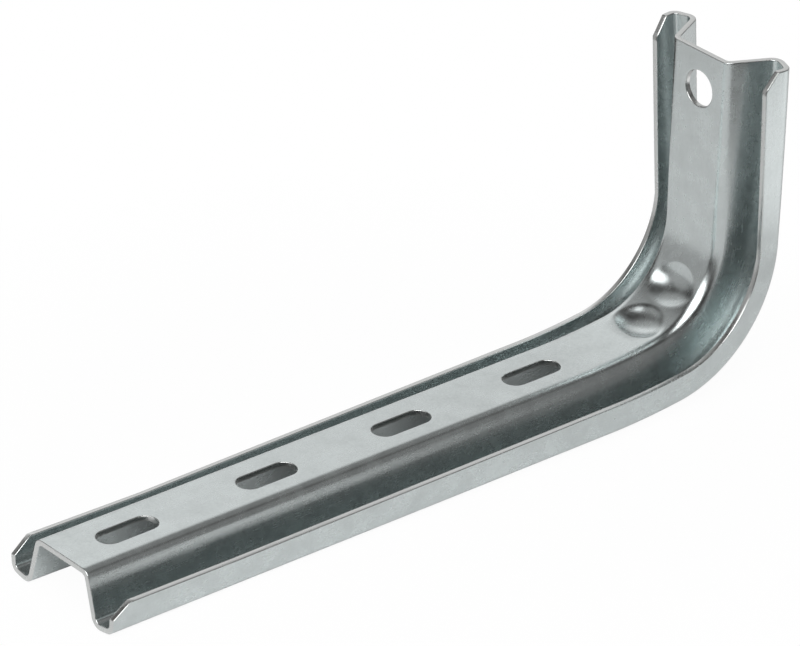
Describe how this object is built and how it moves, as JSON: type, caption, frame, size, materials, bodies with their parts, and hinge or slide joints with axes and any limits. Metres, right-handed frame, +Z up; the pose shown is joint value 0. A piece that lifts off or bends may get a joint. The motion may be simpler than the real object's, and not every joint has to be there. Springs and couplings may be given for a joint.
{
  "type": "cantilever strut arm",
  "caption": "Bent open-hat steel strut arm with a slotted web, upturned lips and a bolt hole in its short wall upright.",
  "frame": {"origin": "middle of the wall bolt's hole, on the face of the upright's web that the bolt's head seats on", "axes": "+X along the arm away from the wall, +Y across the arm, +Z up the upright"},
  "size_m": [0.2517, 0.051, 0.1036],
  "materials": {
    "zinc_steel": "satin zinc coating"
  },
  "bodies": {
    "root": {"strut_arm": "zinc_steel"}
  },
  "joints": []
}
